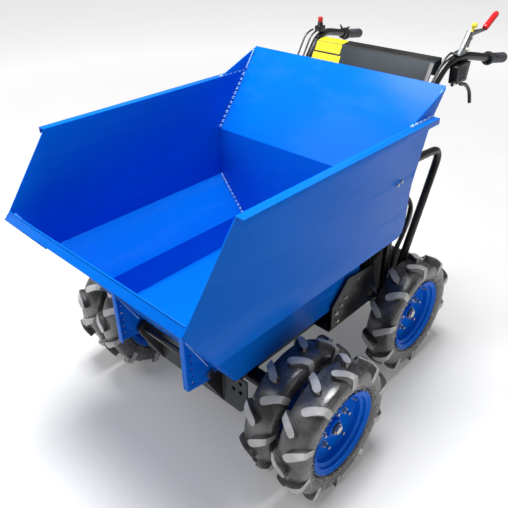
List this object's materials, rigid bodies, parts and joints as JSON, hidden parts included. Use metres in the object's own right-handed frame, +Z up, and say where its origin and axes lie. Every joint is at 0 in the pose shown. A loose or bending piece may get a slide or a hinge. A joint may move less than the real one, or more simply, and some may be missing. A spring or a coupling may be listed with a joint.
{
  "type": "walk-behind site dumper",
  "caption": "Walk-behind wheeled site dumper with a hydraulic forward-tipping steel skip, twin front wheels and rear handlebars.",
  "frame": {"origin": "on the ground, at the middle of the machine's length and width", "axes": "+Z up, -Y towards the loading edge of the skip, +Y towards the operator's grips, +X to the operator's left"},
  "size_m": [1.096, 1.6494, 1.232],
  "materials": {
    "blue_paint": "gloss blue enamel on folded sheet steel",
    "black_paint": "semi-gloss black paint",
    "grey_paint": "dark grey textured paint",
    "tyre": "matt black rubber",
    "grip_rubber": "matt rubber grip",
    "steel": "bright zinc-plated or ground steel",
    "cast_metal": "cast engine metal",
    "red_plastic": "red moulded lever grip",
    "yellow_plastic": "yellow knob and blank yellow plates",
    "black_plastic": "black moulded plastic",
    "hose_rubber": "black hose and cable sheath"
  },
  "bodies": {
    "chassis": {"rail_left": "black_paint", "rail_right": "black_paint", "front_plate": "grey_paint", "pivot_upright_left": "black_paint", "pivot_upright_right": "black_paint", "pivot_pin": "steel", "rear_deck": "black_paint", "side_plate_left": "black_paint", "side_plate_right": "black_paint", "skip_rest": "black_paint", "front_axle": "black_paint", "rear_axle": "black_paint", "ram_mount": "black_paint", "engine_block": "cast_metal", "fan_housing": "black_plastic", "fuel_tank": "black_plastic", "silencer": "cast_metal", "hydraulic_tank": "black_paint", "hydraulic_hose": "hose_rubber", "guard_left": "black_paint", "guard_right": "black_paint", "handlebar_left": "black_paint", "handlebar_right": "black_paint", "grip_left": "grip_rubber", "grip_right": "grip_rubber", "console": "grey_paint", "gear_lever": "steel", "gear_lever_grip": "red_plastic", "switch_box": "black_plastic", "drive_lever": "black_paint", "clutch_lever": "black_plastic", "cable_left": "hose_rubber", "cable_right_inner": "hose_rubber", "cable_right_outer": "hose_rubber"},
    "skip": {"skip_side_left": "blue_paint", "skip_side_right": "blue_paint", "skip_front": "blue_paint", "skip_floor": "blue_paint", "skip_back": "blue_paint", "skip_bracket_left": "blue_paint", "skip_bracket_right": "blue_paint", "ram_lug": "blue_paint", "latch_lug_left": "black_paint", "latch_lug_right": "black_paint"},
    "ram_cylinder": {"lift_cylinder": "black_paint"},
    "ram_rod": {"lift_rod": "steel"},
    "front_wheels_left": {"tyre_front_left_inner": "tyre", "tyre_front_left_outer": "tyre", "rims_front_left": "blue_paint"},
    "front_wheels_right": {"tyre_front_right_inner": "tyre", "tyre_front_right_outer": "tyre", "rims_front_right": "blue_paint"},
    "rear_wheel_left": {"tyre_rear_left": "tyre", "rim_rear_left": "blue_paint"},
    "rear_wheel_right": {"tyre_rear_right": "tyre", "rim_rear_right": "blue_paint"}
  },
  "joints": [
    {"name": "skip_tip", "type": "hinge", "parent": "chassis", "child": "skip", "pos_m": [0, -0.56243, 0.366], "axis": [1, 0, 0], "range_deg": [0, 70]},
    {"name": "ram_swing", "type": "hinge", "parent": "chassis", "child": "ram_cylinder", "pos_m": [0, 0.13757, 0.186], "axis": [-1, 0, 0], "range_deg": [0, 7.7]},
    {"name": "ram_extend", "type": "slide", "parent": "ram_cylinder", "child": "ram_rod", "axis": [0, -0.9596, 0.2813], "range_m": [0, 0.1068]},
    {"name": "front_left_roll", "type": "hinge", "parent": "chassis", "child": "front_wheels_left", "pos_m": [0.365, -0.37243, 0.228], "axis": [1, 0, 0], "continuous": true},
    {"name": "front_right_roll", "type": "hinge", "parent": "chassis", "child": "front_wheels_right", "pos_m": [-0.365, -0.37243, 0.228], "axis": [1, 0, 0], "continuous": true},
    {"name": "rear_left_roll", "type": "hinge", "parent": "chassis", "child": "rear_wheel_left", "pos_m": [0.365, 0.26857, 0.228], "axis": [1, 0, 0], "continuous": true},
    {"name": "rear_right_roll", "type": "hinge", "parent": "chassis", "child": "rear_wheel_right", "pos_m": [-0.365, 0.26857, 0.228], "axis": [1, 0, 0], "continuous": true}
  ],
  "couplings": [
    {"joint": "ram_swing", "follows": "skip_tip", "ratio": 0.10963},
    {"joint": "ram_extend", "follows": "skip_tip", "m_per_rad": 0.087326}
  ]
}
